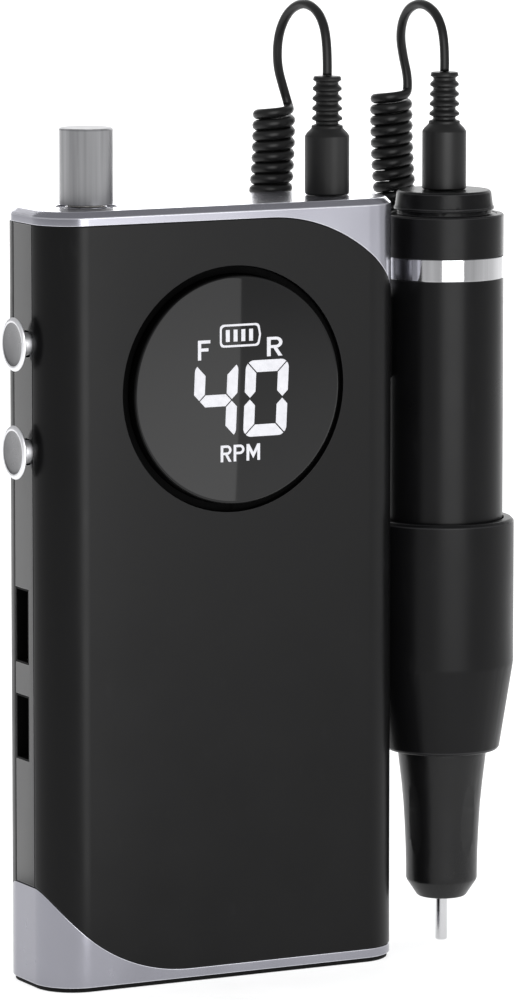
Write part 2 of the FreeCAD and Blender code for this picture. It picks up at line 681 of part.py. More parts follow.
BOX_LEAD = (
    (JACK_X, 0.0, LEAD_TOP), (27.6, 0.3, 179.3), (28.0, 3.6, 184.9), (27.8, 9.6, 187.2),
    (27.4, 15.8, 185.5), (27.1, 19.9, 180.7), (27.4, 21.2, 174.7), (29.6, 21.9, 169.9),
    (30.6, 22.3, 166.0),
)
HANDPIECE_LEAD = (
    (HAND_X, 0.0, LEAD_TOP), (53.7, 0.3, 179.1), (53.9, 3.6, 184.3), (53.6, 9.6, 186.5),
    (53.5, 15.8, 184.7), (54.0, 19.9, 179.8), (55.4, 21.3, 174.4), (56.6, 21.8, 171.2),
    (56.9, 22.0, 168.05),
)
COIL = (
    (27.35, 22.3, 165.6), (27.35, 22.3, 153.0), (25.0, 22.4, 139.0), (16.5, 22.5, 118.0),
    (10.0, 22.6, 96.0), (10.0, 22.7, 74.4), (21.3, 22.8, 58.9), (39.5, 22.8, 53.0),
    (57.7, 22.8, 58.9), (69.0, 22.7, 74.4), (69.1, 22.6, 96.0), (63.2, 22.4, 118.0),
    (55.8, 22.2, 139.0), (53.55, 22.0, 153.5), (53.55, 22.0, 167.7),
)


def cord_path(route):
    """Straight runs joined by tangent arcs, each as large as its two runs allow."""
    spots = [Vector(*spot) for spot in route]
    edges, radii, last = [], [], spots[0]
    for before, corner, after in zip(spots, spots[1:], spots[2:]):
        back = (before - corner).normalize()
        ahead = (after - corner).normalize()
        turn = math.pi - back.getAngle(ahead)
        setback = 0.45 * min((before - corner).Length, (after - corner).Length)
        radius = setback / math.tan(turn / 2)
        start, end = corner + back * setback, corner + ahead * setback
        inward = (back + ahead).normalize()
        middle_spot = corner + inward * (radius / math.cos(turn / 2) - radius)
        edges.append(Part.LineSegment(last, start).toShape())
        edges.append(Part.Arc(start, middle_spot, end).toShape())
        radii.append(radius)
        last = end
    edges.append(Part.LineSegment(last, spots[-1]).toShape())
    return Part.Wire(edges), radii


def cord(name, route, radius):
    """A round tube along a route, checked against its section times its length."""
    path, radii = cord_path(route)
    first = path.Edges[0]
    section = Part.Wire([Part.Circle(first.valueAt(0), first.tangentAt(0), radius).toShape()])
    solid = path.makePipeShell([section], True, False)
    expected = math.pi * radius ** 2 * path.Length
    rounded = [round(each, 1) for each in radii]
    print(f"{name}: length {path.Length:.1f}, radii {rounded}, "
          f"volume {solid.Volume:.1f} of {expected:.1f}")
    thing = doc.addObject("Part::Feature", name)
    thing.Shape = solid
    thing.Placement = FreeCAD.Placement()
    return keep(name, thing)


cord("cord_lead_box", BOX_LEAD, S["lead_radius"].value)
cord("cord_lead_handpiece", HANDPIECE_LEAD, S["lead_radius"].value)
cord("cord_coil", COIL, S["coil_radius"].value)

# ---------------------------------------------------------------- checks and files

doc.recompute()
for thing in doc.Objects:
    if "Invalid" in thing.State or "Error" in thing.State:
        raise RuntimeError(f"{thing.Label} failed: {thing.State}")
for name, thing in PIECES:
    if thing.Shape.isNull() or not thing.Shape.isValid() or not thing.Shape.Solids:
        raise RuntimeError(f"{name} has no valid shape")
for name, thing in PIECES:
    thing.Shape.exportStep(f"parts/{name}.step")
print(len(PIECES), "pieces")
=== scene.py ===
"""Looks of the portable nail drill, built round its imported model.

Metres, +Z up, the display faces -Y and the handpiece stands at +X.  The camera and the cords
come first, then the finishes, the case, the display, the controls, the handpiece and the light.
"""
import json
import math
import bmesh
import bpy
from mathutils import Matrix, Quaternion, Vector

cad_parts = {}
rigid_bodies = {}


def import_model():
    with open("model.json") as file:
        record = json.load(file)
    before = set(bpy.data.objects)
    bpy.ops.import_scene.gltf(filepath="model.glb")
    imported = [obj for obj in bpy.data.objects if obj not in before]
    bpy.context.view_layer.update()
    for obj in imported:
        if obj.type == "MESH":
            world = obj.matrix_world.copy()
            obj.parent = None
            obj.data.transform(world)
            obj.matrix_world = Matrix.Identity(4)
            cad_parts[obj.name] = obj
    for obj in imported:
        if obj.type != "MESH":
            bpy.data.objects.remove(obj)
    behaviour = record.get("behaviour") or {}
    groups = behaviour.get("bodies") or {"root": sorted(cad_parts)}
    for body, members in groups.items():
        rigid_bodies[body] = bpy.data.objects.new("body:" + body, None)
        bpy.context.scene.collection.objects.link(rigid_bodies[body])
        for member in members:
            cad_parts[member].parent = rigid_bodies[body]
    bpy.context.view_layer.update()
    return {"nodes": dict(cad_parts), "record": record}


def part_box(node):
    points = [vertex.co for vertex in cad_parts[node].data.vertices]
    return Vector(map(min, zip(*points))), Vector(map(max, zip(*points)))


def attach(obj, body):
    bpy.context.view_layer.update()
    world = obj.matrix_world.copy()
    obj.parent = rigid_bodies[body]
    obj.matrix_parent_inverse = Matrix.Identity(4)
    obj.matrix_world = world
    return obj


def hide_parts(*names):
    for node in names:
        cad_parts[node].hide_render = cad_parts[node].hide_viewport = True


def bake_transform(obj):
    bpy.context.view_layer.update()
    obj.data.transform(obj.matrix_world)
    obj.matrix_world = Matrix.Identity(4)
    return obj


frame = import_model()
MM = 0.001
SLOT_OF = {part["node"]: part["material_slot"] for part in frame["record"]["subparts"]}
BODY_OF = {
    node: body for body, nodes in frame["record"]["behaviour"]["bodies"].items() for node in nodes
}


def show(name, data):
    """A new object in the scene."""
    thing = bpy.data.objects.new(name, data)
    bpy.context.scene.collection.objects.link(thing)
    return thing


def fixed(thing, name):
    """The thing with its modifiers worked in, as a plain mesh under a new name."""
    bpy.context.view_layer.update()
    evaluated = thing.evaluated_get(bpy.context.evaluated_depsgraph_get())
    mesh = bpy.data.meshes.new_from_object(evaluated)
    bpy.data.objects.remove(thing)
    mesh.name = name
    return show(name, mesh)


def dress(piece, node, *finishes):
    """Puts a finished piece in place of a CAD node, with the node's body and the given finishes."""
    spans = [face.material_index for face in piece.data.polygons]
    piece.data.materials.clear()
    for finish in finishes:
        piece.data.materials.append(finish)
    piece.data.polygons.foreach_set("material_index", [min(k, len(finishes) - 1) for k in spans])
    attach(piece, BODY_OF[node])
    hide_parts(node)
    return piece


# ------------------------------------------------------------------ camera

CAMERA_TURN = math.radians(27.53)
CAMERA_RISE = math.radians(7.79)
CAMERA_DISTANCE = 1.246
CAMERA_AIM = Vector((0.01275, 0.0, 0.0912))
LENS_LENGTH = 230.4
LOOK = Vector((
    math.sin(CAMERA_TURN) * math.cos(CAMERA_RISE),
    math.cos(CAMERA_TURN) * math.cos(CAMERA_RISE),
    -math.sin(CAMERA_RISE),
))


def add_camera():
    data = bpy.data.cameras.new("camera")
    data.lens = LENS_LENGTH
    data.clip_start, data.clip_end = 0.05, 60.0
    camera = show("camera", data)
    camera.location = CAMERA_AIM - LOOK * CAMERA_DISTANCE
    camera.rotation_euler = LOOK.to_track_quat("-Z", "Y").to_euler()
    bpy.context.scene.camera = camera


add_camera()

# ------------------------------------------------------------------ cords

LEAD_THICK, COIL_THICK = 0.00185, 0.00218
COIL_MEAN = 0.00321
THICKENING = 40
LEAD_TOP = 0.17337
JACK_X, HAND_X = 0.02735, 0.0534

BOX_LEAD = (
    (JACK_X, 0.0, LEAD_TOP), (0.0276, 0.0003, 0.1793), (0.0280, 0.0036, 0.1849),
    (0.0278, 0.0096, 0.1872), (0.0274, 0.0158, 0.1855), (0.0271, 0.0199, 0.1807),
    (0.0274, 0.0212, 0.1747), (0.0292, 0.0222, 0.1699), (0.0307, 0.0226, 0.1663),
)
HANDPIECE_LEAD = (
    (HAND_X, 0.0, LEAD_TOP), (0.0537, 0.0003, 0.1791), (0.0539, 0.0036, 0.1843),
    (0.0536, 0.0096, 0.1865), (0.0535, 0.0158, 0.1847), (0.0540, 0.0194, 0.1798),
    (0.0554, 0.0203, 0.1744), (0.0564, 0.0204, 0.1712), (0.0565, 0.0204, 0.1684),
)
COIL = (
    (0.02735, 0.0223, 0.1656), (0.02735, 0.0223, 0.1530), (0.0250, 0.0224, 0.1390),
    (0.0165, 0.0225, 0.1180), (0.0100, 0.0226, 0.0960), (0.0100, 0.0227, 0.0744),
    (0.0213, 0.0228, 0.0589), (0.0395, 0.0228, 0.0530), (0.0577, 0.0228, 0.0589),
    (0.0690, 0.0227, 0.0744), (0.0691, 0.0226, 0.0960), (0.0632, 0.0224, 0.1180),
    (0.0558, 0.0222, 0.1390), (0.05355, 0.0220, 0.1535), (0.05355, 0.0220, 0.1677),
)


def smooth_line(route):
    """Points along the NURBS spline that has the route's points as its control points."""
    curve = bpy.data.curves.new("route", "CURVE")
    curve.dimensions = "3D"
    spline = curve.splines.new("NURBS")
    spline.points.add(len(route) - 1)
    for point, spot in zip(spline.points, route):
        point.co = (*spot, 1.0)
    spline.order_u = 3
    spline.use_endpoint_u = True
    spline.resolution_u = 32
    holder = show("route", curve)
    mesh = bpy.data.meshes.new_from_object(holder)
    spots = [vertex.co.copy() for vertex in mesh.vertices]
    bpy.data.objects.remove(holder)
    bpy.data.meshes.remove(mesh)
    return spots


def even_steps(spots, step):
    """The same line, with points an even step apart."""
    total = sum((b - a).length for a, b in zip(spots, spots[1:]))
    count = max(2, round(total / step))
    step = total / count
    found, walked, goal = [spots[0].copy()], 0.0, step
    for a, b in zip(spots, spots[1:]):
        run = (b - a).length
        while goal <= walked + run + 1e-12 and len(found) < count:
            found.append(a.lerp(b, (goal - walked) / run))
            goal += step
        walked += run
    found.append(spots[-1].copy())
    return found


def carried_frames(spots, first_side):
    """A travel direction and a side direction at each point, with no needless twist."""
    travels = []
    for i in range(len(spots)):
        before, after = spots[max(i - 1, 0)], spots[min(i + 1, len(spots) - 1)]
        travels.append((after - before).normalized())
    side = (first_side - travels[0] * first_side.dot(travels[0])).normalized()
    frames = [(travels[0], side)]
    for last, travel in zip(travels, travels[1:]):
        side = last.rotation_difference(travel) @ side
        side = (side - travel * side.dot(travel)).normalized()
        frames.append((travel, side))
    return frames


def winding(axis, pitch_at, first_side, last_side):
    """A right-handed helix round an axis line, from one given side to another."""
    spots = even_steps(axis, 0.00008)
    frames = carried_frames(spots, first_side)
    turned = [0.0]
    for i in range(1, len(spots)):
        step = (spots[i] - spots[i - 1]).length
        turned.append(turned[-1] + math.tau * step / pitch_at(i / len(spots)))
    travel, side = frames[-1]
    wanted = math.atan2(side.cross(last_side).dot(travel), side.dot(last_side))
    whole = math.tau * round((turned[-1] - wanted) / math.tau) + wanted
    fit = whole / turned[-1]
    return [
        spot + Quaternion(travel, angle * fit) @ side * COIL_MEAN
        for spot, (travel, side), angle in zip(spots, frames, turned)
    ]


def coil_pitch(share):
    """Tight turns at both ends of the coil, a little drawn out where its weight hangs."""
    hang = math.sin(math.pi * min(max(share, 0.0), 1.0))
    return 0.00219 + 0.0007 * hang ** 6


def eased(spots, joints, reach=7, passes=4):
    """Rounds the line off near its joints."""
    near = [i for j in joints for i in range(max(1, j - reach), min(len(spots) - 1, j + reach))]
    for _ in range(passes):
        moved = {i: (spots[i - 1] + spots[i] * 2 + spots[i + 1]) * 0.25 for i in near}
        for i, spot in moved.items():
            spots[i] = spot
    return spots


def tube(name, spots, frames, radii, sides=10):
    """A closed round tube whose rings are centred on the points."""
    mesh = bmesh.new()
    rings = []
    for spot, (travel, side), radius in zip(spots, frames, radii):
        across = travel.cross(side)
        ring = []
        for k in range(sides):
            angle = math.tau * k / sides
            around = side * math.cos(angle) + across * math.sin(angle)
            ring.append(mesh.verts.new(spot + around * radius))
        rings.append(ring)
    for low, high in zip(rings, rings[1:]):
        for k in range(sides):
            mesh.faces.new((low[k], low[(k + 1) % sides], high[(k + 1) % sides], high[k]))
    mesh.faces.new(list(reversed(rings[0])))
    mesh.faces.new(rings[-1])
    for face in mesh.faces:
        face.smooth = len(face.verts) == 4
    data = bpy.data.meshes.new(name)
    mesh.to_mesh(data)
    mesh.free()
    return show(name, data)


def add_cords():
    """Two plain leads and the curly cord between them, one smooth line cut in three."""
    step = 0.0007
    box_side = even_steps(smooth_line(BOX_LEAD), step)
    hand_side = even_steps(smooth_line(HANDPIECE_LEAD), step)
    hand_last = (Vector(HANDPIECE_LEAD[-1]) - Vector(COIL[-1])) * Vector((1, 1, 0))
    turns = even_steps(winding(smooth_line(COIL), coil_pitch, Vector((1, 0, 0)), hand_last), step)
    line = box_side[:-1] + turns + list(reversed(hand_side))[1:]
    first, last = len(box_side) - 1, len(box_side) + len(turns) - 2
    line = eased(line, (first, last))
    frames = carried_frames(line, Vector((1, 0, 0)))
    cuts = (
        ("box_lead", 0, first, "box", "box_plug", "cord_lead_box"),
        ("curly_cord", first, last, "box", "handpiece", "cord_coil"),
        ("handpiece_lead", last, len(line) - 1, "handpiece", "handpiece_plug", "cord_lead_handpiece"),
    )
    thick = [LEAD_THICK] * len(line)
    for i in range(first, last):
        share = min(i - first, last - i) / THICKENING
        thick[i] += (COIL_THICK - LEAD_THICK) * min(1.0, share)
    for name, low, high, still, moving, node in cuts:
        spots = line[low:high + 1]
        radii = [t * 0.5 for t in thick[low:high + 1]]
        piece = tube(name, spots, frames[low:high + 1], radii)
        piece.data.materials.append(FINISH["cord_black"])
        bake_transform(piece)
        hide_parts(node)


FINISHED = {}

# ------------------------------------------------------------------ finishes


class Wiring:
    """A new material with short ways of adding nodes to it."""

    def __init__(self, name):
        self.material = bpy.data.materials.new(name)
        self.material.use_nodes = True
        self.nodes = self.material.node_tree.nodes
        self.links = self.material.node_tree.links
        self.shader = self.nodes["Principled BSDF"]
        self.object_space = self.nodes.new("ShaderNodeTexCoord").outputs["Object"]

    def noise(self, size, stretch=(1, 1, 1), detail=3.0, seat=(0, 0, 0)):
        """Noise whose features are about size metres across, drawn out where stretch is small."""
        mapping = self.nodes.new("ShaderNodeMapping")
        mapping.inputs["Scale"].default_value = stretch
        mapping.inputs["Location"].default_value = seat
        self.links.new(self.object_space, mapping.inputs["Vector"])
        texture = self.nodes.new("ShaderNodeTexNoise")
        texture.inputs["Scale"].default_value = 1.0 / size
        texture.inputs["Detail"].default_value = detail
        self.links.new(mapping.outputs["Vector"], texture.inputs["Vector"])
        return texture.outputs["Fac"]

    def between(self, value, low, high, start=0.3, stop=0.7):
        """The value, spread from low to high."""
        node = self.nodes.new("ShaderNodeMapRange")
        node.inputs["From Min"].default_value = start
        node.inputs["From Max"].default_value = stop
        node.inputs["To Min"].default_value = low
        node.inputs["To Max"].default_value = high
        self.links.new(value, node.inputs["Value"])
        return node.outputs["Result"]

    def sum_of(self, first, second):
        node = self.nodes.new("ShaderNodeMath")
        node.operation = "ADD"
        node.use_clamp = True
        self.links.new(first, node.inputs[0])
        self.links.new(second, node.inputs[1])
        return node.outputs["Value"]

    def colour_mix(self, share, first, second):
        """A colour between two; each may be a colour or another node's output."""
        node = self.nodes.new("ShaderNodeMix")
        node.data_type = "RGBA"
        self.links.new(share, node.inputs["Factor"])
        for socket, colour in ((node.inputs[6], first), (node.inputs[7], second)):
            if isinstance(colour, bpy.types.NodeSocket):
                self.links.new(colour, socket)
            else:
                socket.default_value = (*colour, 1.0)
        return node.outputs[2]

    def bump(self, height, depth, under=None):
        node = self.nodes.new("ShaderNodeBump")
        node.inputs["Strength"].default_value = 1.0
        node.inputs["Distance"].default_value = depth
        self.links.new(height, node.inputs["Height"])
        if under is not None:
            self.links.new(under, node.inputs["Normal"])
        return node.outputs["Normal"]

    def feed(self, socket, value):
        self.links.new(value, self.shader.inputs[socket])


def tinted(colour, share):
    return tuple(min(1.0, c * share) for c in colour)


def moulded(name, colour, roughness, grain=0.35, depth=0.004, tint=0.1, scuff=1.6, metal=0.0,
            stretch=(1, 1, 1), cloud=14.0, cloud_stretch=(1, 1, 1), **sockets):
    """A finish with fine grain, slow colour and gloss changes, and faint rubbed spots."""
    wires = Wiring(name)
    shader = wires.shader
    shader.inputs["Metallic"].default_value = metal
    for socket, value in sockets.items():
        shader.inputs[socket.replace("_", " ")].default_value = value
    slow = wires.noise(cloud * MM, cloud_stretch, detail=4.0)
    fine = wires.noise(grain * MM, stretch, detail=2.0)
    rubs = wires.noise(2.2 * MM, (1, 1, 0.35), detail=6.0, seat=(0.3, 0.1, 0.7))
    rubbed = wires.between(rubs, 0.0, 0.55, 0.62, 0.74)
    body = wires.colour_mix(wires.between(slow, 0, 1), tinted(colour, 1 - tint), tinted(colour, 1 + tint))
    wires.feed("Base Color", wires.colour_mix(rubbed, body, tinted(colour, scuff)))
    gloss = wires.between(slow, roughness * 0.88, roughness * 1.12)
    wires.feed("Roughness", wires.sum_of(gloss, wires.between(rubs, 0.0, roughness * 0.2, 0.62, 0.74)))
    wires.feed("Normal", wires.bump(rubs, depth * 0.5 * MM, wires.bump(fine, depth * MM)))
    return wires.material


def turned_metal(name, colour, roughness, line=0.05, depth=0.0015, axis=2, **sockets):
    """Metal with the fine rings that a lathe leaves round an axis."""
    stretch = [0.02, 0.02, 0.02]
    stretch[axis] = 1.0
    return moulded(name, colour, roughness, grain=line, depth=depth, tint=0.04, scuff=1.12,
                   metal=1.0, stretch=tuple(stretch), **sockets)


def lit_segments(name):
    """The lit marks of the display: white with the dimmer spots of the light guide."""
    wires = Wiring(name)
    glow = wires.noise(1.1 * MM)
    white = wires.colour_mix(wires.between(glow, 0, 1), (0.8, 0.8, 0.84), (0.9, 0.9, 0.94))
    wires.feed("Base Color", white)
    wires.feed("Emission Color", white)
    wires.shader.inputs["Emission Strength"].default_value = 0.3
    wires.feed("Roughness", wires.between(glow, 0.25, 0.4))
    wires.feed("Normal", wires.bump(wires.noise(0.2 * MM), 0.002 * MM))
    return wires.material


DULL = {"Specular_IOR_Level": 0.16}
DULLER = {"Specular_IOR_Level": 0.1}

FINISH = {
    "cover_black": moulded("cover_black", (0.0036, 0.0036, 0.0038), 0.32, **DULL),
    "band_black": moulded("band_black", (0.004, 0.004, 0.0048), 0.15, grain=0.8, depth=0.0004,
                          Specular_IOR_Level=0.06),
    "silver_shell": moulded("silver_shell", (0.29, 0.29, 0.325), 0.24, grain=0.12, depth=0.0006,
                            tint=0.05, scuff=1.06, metal=0.9),
    "pad_black": moulded("pad_black", (0.006, 0.006, 0.006), 0.7, grain=0.5, depth=0.02, **DULL),
    "lens_black": moulded("lens_black", (0.003, 0.003, 0.0033), 0.025, grain=2.0, depth=0.0001,
                          scuff=1.3, Specular_IOR_Level=0.36),
    "bezel_black": moulded("bezel_black", (0.0008, 0.0008, 0.0008), 0.7, **DULLER),
    "module_grey": moulded("module_grey", (0.12, 0.12, 0.13), 0.5),
    "board_green": moulded("board_green", (0.02, 0.16, 0.07), 0.35, grain=0.6),
    "port_black": moulded("port_black", (0.001, 0.001, 0.001), 0.6, **DULLER),
    "cell_wrap": moulded("cell_wrap", (0.03, 0.12, 0.3), 0.3, grain=1.2),
    "tray_grey": moulded("tray_grey", (0.2, 0.2, 0.21), 0.5),
    "nickel": turned_metal("nickel", (0.62, 0.6, 0.55), 0.25),
    "screw_steel": turned_metal("screw_steel", (0.3, 0.3, 0.31), 0.3, axis=1),
    "knob_aluminium": moulded("knob_aluminium", (0.42, 0.42, 0.43), 0.36, grain=0.12, depth=0.001,
                              tint=0.3, scuff=1.05, metal=1.0, stretch=(1, 1, 0.03), cloud=2.0,
                              cloud_stretch=(1, 1, 0.02)),
    "button_chrome": turned_metal("button_chrome", (0.8, 0.8, 0.82), 0.1, axis=0, depth=0.0003),
    "jack_black": moulded("jack_black", (0.02, 0.02, 0.02), 0.4, **DULL),
    "plug_rubber": moulded("plug_rubber", (0.008, 0.008, 0.008), 0.42, grain=0.3, depth=0.004,
                           Specular_IOR_Level=0.3),
    "pin_nickel": turned_metal("pin_nickel", (0.78, 0.76, 0.7), 0.18),
    "cord_black": moulded("cord_black", (0.006, 0.006, 0.006), 0.4, grain=0.5, depth=0.004,
                          Specular_IOR_Level=0.3),
    "barrel_black": moulded("barrel_black", (0.004, 0.004, 0.0043), 0.3, grain=0.2, depth=0.002,
                            **DULL),
    "ring_chrome": moulded("ring_chrome", (0.5, 0.5, 0.51), 0.1, grain=0.1, depth=0.0002, tint=0.16,
                           scuff=1.05, metal=1.0, stretch=(1, 1, 0.03), cloud=1.6,
                           cloud_stretch=(1, 1, 0.02)),
    "grip_black": moulded("grip_black", (0.004, 0.004, 0.0043), 0.34, grain=0.3, depth=0.003, **DULL),
    "cap_black": moulded("cap_black", (0.0045, 0.0045, 0.0048), 0.3, **DULL),
    "nose_black": moulded("nose_black", (0.005, 0.005, 0.0053), 0.3, Specular_IOR_Level=0.3),
    "steel": turned_metal("steel", (0.55, 0.55, 0.56), 0.25),
    "bit_steel": turned_metal("bit_steel", (0.6, 0.6, 0.61), 0.2),
    "magnet": turned_metal("magnet", (0.5, 0.5, 0.5), 0.2, axis=0),
    "rotor_iron": turned_metal("rotor_iron", (0.3, 0.2, 0.14), 0.4),
    "seal_rubber": moulded("seal_rubber", (0.004, 0.004, 0.004), 0.6, **DULL),
}
# Lighter copies of the finishes for the bevelled edges: painted edge highlight, not wear.
PAINTED_EDGE_HIGHLIGHT = {
    "cover_black": moulded("cover_painted_highlight", (0.012, 0.012, 0.0125), 0.3, **DULL),
    "band_black": moulded("band_painted_highlight", (0.012, 0.012, 0.013), 0.2, **DULL),
    "silver_shell": moulded("silver_painted_highlight", (0.62, 0.62, 0.67), 0.25, grain=0.12, depth=0.0006,
                            tint=0.05, scuff=1.06, metal=0.9),
    "barrel_black": moulded("barrel_painted_highlight", (0.02, 0.02, 0.021), 0.3, **DULL),
    "grip_black": moulded("grip_painted_highlight", (0.02, 0.02, 0.021), 0.3, **DULL),
    "cap_black": moulded("cap_painted_highlight", (0.025, 0.025, 0.026), 0.3, **DULL),
}
BUTTON_FACE = moulded("button_face", (0.17, 0.17, 0.175), 0.25, grain=0.15, depth=0.0006, tint=0.12,
                      scuff=1.1, metal=1.0, stretch=(1, 1, 0.05), cloud=3.0)
BUTTON_NECK = moulded("button_neck", (0.85, 0.85, 0.87), 0.45, grain=0.2, depth=0.001, tint=0.04,
                      scuff=1.05, metal=1.0)
CRADLE_BLACK = moulded("cradle_black", (0.0015, 0.0015, 0.0015), 0.6, **DULLER)
LENS_RIM = moulded("lens_rim", (0.0012, 0.0012, 0.0012), 0.35, **DULLER)
LIT = lit_segments("lit_segments")

for node, thing in frame["nodes"].items():
    thing.data.materials.clear()
    thing.data.materials.append(FINISH[SLOT_OF[node]])

# ------------------------------------------------------------------ case and turned pieces


def softened(node, width, segments=2, angle=28.0):
    """A copy of a CAD node with its facets joined up and its edges rounded, the rounded edges of some
    finishes in a lighter copy of the finish as painted edge highlight.
    """
    slot = SLOT_OF[node]
    data = frame["nodes"][node].data.copy()
    mesh = bmesh.new()
    mesh.from_mesh(data)
    bmesh.ops.remove_doubles(mesh, verts=mesh.verts, dist=2e-6)
    bmesh.ops.dissolve_limit(mesh, angle_limit=math.radians(0.6), verts=mesh.verts, edges=mesh.edges)
    for face in mesh.faces:
        face.smooth = True
    mesh.to_mesh(data)
    mesh.free()
    piece = show(f"{node}_blank", data)
    bevel = piece.modifiers.new("soft_edges", "BEVEL")
    bevel.width = width * MM
    bevel.segments = segments
    bevel.limit_method = "ANGLE"
    bevel.angle_limit = math.radians(angle)
    bevel.harden_normals = True
    bevel.use_clamp_overlap = False
    # The bevels take the lighter copy of the finish where there is one: painted edge highlight.
    bevel.material = 1 if slot in PAINTED_EDGE_HIGHLIGHT else -1
    levelled = piece.modifiers.new("level_faces", "WEIGHTED_NORMAL")
    levelled.mode = "FACE_AREA"
    levelled.weight = 100
    data.materials.clear()
    data.materials.append(FINISH[slot])
    if slot in PAINTED_EDGE_HIGHLIGHT:
        data.materials.append(PAINTED_EDGE_HIGHLIGHT[slot])
    piece = fixed(piece, f"{node}_finished")
    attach(piece, BODY_OF[node])
    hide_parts(node)
    return piece


def turned(name, profile, centre, facing, steps=96, inlay=()):
    """A turned piece: profile is (radius, height) pairs in mm, heights along facing.

    The spans of the profile that inlay numbers take the piece's second finish.
    """
    mesh = bmesh.new()
    up = Vector(facing).normalized()
    side = up.orthogonal().normalized()
    across = up.cross(side)
    rings = []
    for radius, height in profile:
        base = Vector(centre) + up * height * MM
        if radius == 0:
            rings.append([mesh.verts.new(base)] * steps)
            continue
        ring = []
        for k in range(steps):
            angle = math.tau * k / steps
            around = side * math.cos(angle) + across * math.sin(angle)
            ring.append(mesh.verts.new(base + around * radius * MM))
        rings.append(ring)
    closed = list(zip(rings, rings[1:]))
    if profile[0][0] != 0:
        closed.append((rings[-1], rings[0]))
    for span, (low, high) in enumerate(closed):
        for k in range(steps):
            n = (k + 1) % steps
            corners = list(dict.fromkeys((low[k], low[n], high[n], high[k])))
            if len(corners) > 2:
                face = mesh.faces.new(corners)
                face.smooth = True
                face.material_index = 1 if span in inlay else 0
    bmesh.ops.recalc_face_normals(mesh, faces=mesh.faces)
    data = bpy.data.meshes.new(name)
    mesh.to_mesh(data)
    mesh.free()
    data.set_sharp_from_angle(angle=math.radians(35))
    return show(name, data)


SOFT_EDGES = {
    "front_cover": 0.12, "back_cover": 0.12, "side_frame": 0.1, "top_cap": 0.15, "bottom_cap": 0.15,
    "base_pad": 0.15, "display_bezel": 0.08, "speed_knob": 0.12, "box_plug": 0.12,
    "handpiece_plug": 0.12, "barrel": 0.1, "rear_cap": 0.1, "twist_grip": 0.15,
    "nose_cone": 0.12, "bit": 0.05,
    "handpiece_cradle": 0.15, "usb_port": 0.04, "charge_port": 0.04,
}
for node, width in SOFT_EDGES.items():
    FINISHED[node] = softened(node, width)
for number in range(len(FINISHED["handpiece_cradle"].data.materials)):
    FINISHED["handpiece_cradle"].data.materials[number] = CRADLE_BLACK


def add_ring():
    """The polished ring: a straight band with small rolled edges."""
    low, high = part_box("chrome_ring")
    outer, tall = (high.x - low.x) / 2 / MM, (high.z - low.z) / MM
    inner, roll = outer - RING_WALL, 0.12
    profile = [(inner, 0.01), (outer - roll, 0), (outer - roll * 0.3, roll * 0.3), (outer, roll)]
    profile += [(outer, roll + 0.02), (outer, tall - roll - 0.02)]
    profile += [(outer, tall - roll), (outer - roll * 0.3, tall - roll * 0.3), (outer - roll, tall)]
    profile.append((inner, tall - 0.01))
    base = ((low.x + high.x) / 2, (low.y + high.y) / 2, low.z)
    ring = turned("chrome_ring_band", profile, base, (0, 0, 1), 160)
    return dress(ring, "chrome_ring", FINISH["ring_chrome"])


RING_WALL = 0.4
FINISHED["chrome_ring"] = add_ring()

add_cords()

BUTTON_LONG = 5.75


def add_button(node):
    """A mushroom button: chrome neck, flared back and rim, and a dished satin face."""
    low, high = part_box(node)
    base = (low.x + BUTTON_LONG * MM, (low.y + high.y) / 2, (low.z + high.z) / 2)
    stem = [(0, 0.06), (1.6, 0.06), (1.6, 1.45), (2.25, 1.45), (2.25, 4.35), (2.6, 4.62), (3.4, 4.85),
            (4.6, 5.0)]
    rim = [(5.0, 5.1), (5.15, 5.3), (5.08, 5.47), (4.8, 5.66), (4.55, 5.75), (4.4, 5.74)]
    face = [(4.2, 5.68), (3.4, 5.6), (2.2, 5.53), (1.1, 5.5), (0, 5.49)]
    profile = stem + rim + face
    dished = range(len(stem) + len(rim), len(profile) - 1)
    piece = turned(f"{node}_head", profile, base, (-1, 0, 0), 72, dished)
    return dress(piece, node, BUTTON_NECK, BUTTON_FACE)


for node in ("power_button", "direction_button"):
    FINISHED[node] = add_button(node)

# ------------------------------------------------------------------ case screws

SCREW_HEAD, SCREW_HIGH, SCREW_LONG = 2.0, 0.8, 11.2


